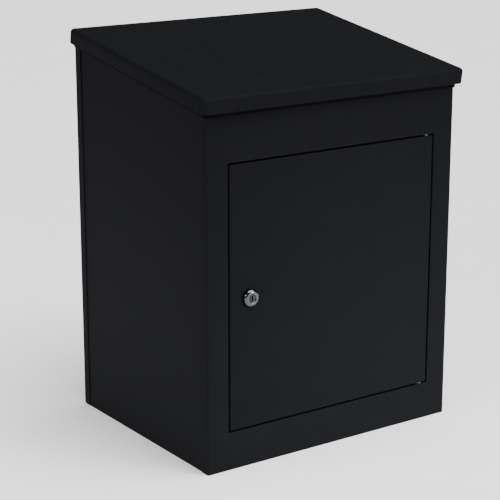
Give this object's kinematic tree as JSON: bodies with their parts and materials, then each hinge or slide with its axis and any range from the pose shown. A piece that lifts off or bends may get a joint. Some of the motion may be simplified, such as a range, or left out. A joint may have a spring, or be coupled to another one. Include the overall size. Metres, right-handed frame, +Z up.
{
  "type": "parcel drop box",
  "caption": "Freestanding or wall-fixed sheet-steel parcel drop box with a sloping hinged lid, a lockable front door and a lid-linked anti-theft tray.",
  "frame": {"origin": "middle of the base, on the surface that the box stands on", "axes": "+Z up; the front, with the door, faces -Y; +X to the right seen from the front"},
  "size_m": [0.435, 0.345, 0.56],
  "materials": {
    "powder_coat": "fine-textured satin black powder coat",
    "zinc_plate": "zinc-plated steel, dull",
    "bright_steel": "bright zinc-plated steel",
    "chrome": "polished chrome plate",
    "rubber": "matt black rubber",
    "nylon": "black nylon"
  },
  "bodies": {
    "cabinet": {"front_panel": "powder_coat", "left_side_panel": "powder_coat", "right_side_panel": "powder_coat", "back_panel": "powder_coat", "bottom_panel": "powder_coat", "rim_seal": "rubber", "weather_strip": "rubber", "hinge_fixed_leaf": "zinc_plate", "hinge_pin": "zinc_plate", "body_hinge_nuts": "bright_steel", "tray_pivot_studs": "bright_steel", "tray_bumpers": "rubber", "strike_plate": "bright_steel", "door_bumpers": "rubber", "door_bushes": "nylon"},
    "lid": {"lid_panel": "powder_coat", "lid_stiffener": "powder_coat", "hinge_moving_leaf": "zinc_plate", "lid_hinge_nuts": "bright_steel", "left_link_bracket": "zinc_plate", "right_link_bracket": "zinc_plate", "upper_link_pins": "bright_steel"},
    "tray": {"tray_panel": "powder_coat", "tray_bushes": "nylon", "lower_link_pins": "bright_steel"},
    "left_link": {"left_link": "zinc_plate"},
    "right_link": {"right_link": "zinc_plate"},
    "door": {"door_panel": "powder_coat", "door_stiffener": "powder_coat", "door_pivot_pins": "bright_steel", "lock_body": "chrome", "lock_washer": "bright_steel", "lock_nut": "bright_steel"},
    "lock_plug": {"lock_plug": "chrome", "lock_cam": "bright_steel", "cam_washer": "bright_steel", "cam_screw": "bright_steel"}
  },
  "joints": [
    {"name": "lid_hinge", "type": "hinge", "parent": "cabinet", "child": "lid", "pos_m": [0, 0.161, 0.55568], "axis": [-1, 0, 0], "range_deg": [0, 80]},
    {"name": "tray_pivot", "type": "hinge", "parent": "cabinet", "child": "tray", "pos_m": [0, 0.149, 0.4], "axis": [-1, 0, 0], "range_deg": [0, 80]},
    {"name": "left_link_pivot", "type": "hinge", "parent": "lid", "child": "left_link", "pos_m": [-0.1975, 0.10738, 0.51069], "axis": [-1, 0, 0], "range_deg": [-80, 0]},
    {"name": "right_link_pivot", "type": "hinge", "parent": "lid", "child": "right_link", "pos_m": [0.1975, 0.10738, 0.51069], "axis": [-1, 0, 0], "range_deg": [-80, 0]},
    {"name": "door_hinge", "type": "hinge", "parent": "cabinet", "child": "door", "pos_m": [0.1617, -0.155, 0.2365], "axis": [0, 0, 1], "range_deg": [0, 110]},
    {"name": "lock_turn", "type": "hinge", "parent": "door", "child": "lock_plug", "pos_m": [-0.1393, -0.161, 0.2365], "axis": [0, 1, 0], "range_deg": [0, 90]}
  ],
  "couplings": [
    {"joint": "tray_pivot", "follows": "lid_hinge", "ratio": 1},
    {"joint": "left_link_pivot", "follows": "lid_hinge", "ratio": -1},
    {"joint": "right_link_pivot", "follows": "lid_hinge", "ratio": -1}
  ]
}
